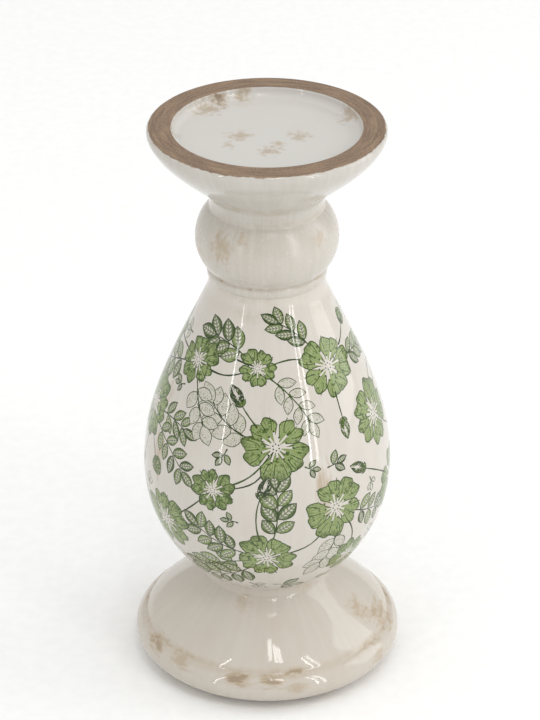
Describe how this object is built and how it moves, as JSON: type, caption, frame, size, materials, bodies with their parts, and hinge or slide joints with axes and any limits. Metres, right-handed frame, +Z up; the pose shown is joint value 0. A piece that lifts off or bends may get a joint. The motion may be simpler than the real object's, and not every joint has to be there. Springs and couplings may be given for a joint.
{
  "type": "ceramic candlestick",
  "caption": "Glazed ceramic baluster candlestick with a pear-shaped body, a round knop, a spreading foot and a shallow rimmed dish that holds a pillar candle upright.",
  "frame": {"origin": "on the candlestick's axis, in the plane of the felt pads' undersides, which is the table top", "axes": "+Z up along the axis from the foot to the candle dish; the piece is round about +Z, and -Y is the side that the picture shows"},
  "size_m": [0.116, 0.116, 0.25],
  "materials": {
    "glaze": "glossy cream glaze with brown antiquing in the creases",
    "printed_glaze": "glossy cream glaze over a green printed pattern of leaves and blossoms",
    "fired_slip": "matte unglazed earthenware",
    "felt": "pressed wool felt"
  },
  "bodies": {
    "root": {"candle_dish": "glaze", "knop": "glaze", "body": "printed_glaze", "foot": "glaze", "luting_ring_upper": "fired_slip", "luting_ring_middle": "fired_slip", "luting_ring_lower": "fired_slip", "felt_pad_1": "felt", "felt_pad_2": "felt", "felt_pad_3": "felt", "felt_pad_4": "felt"}
  },
  "joints": []
}
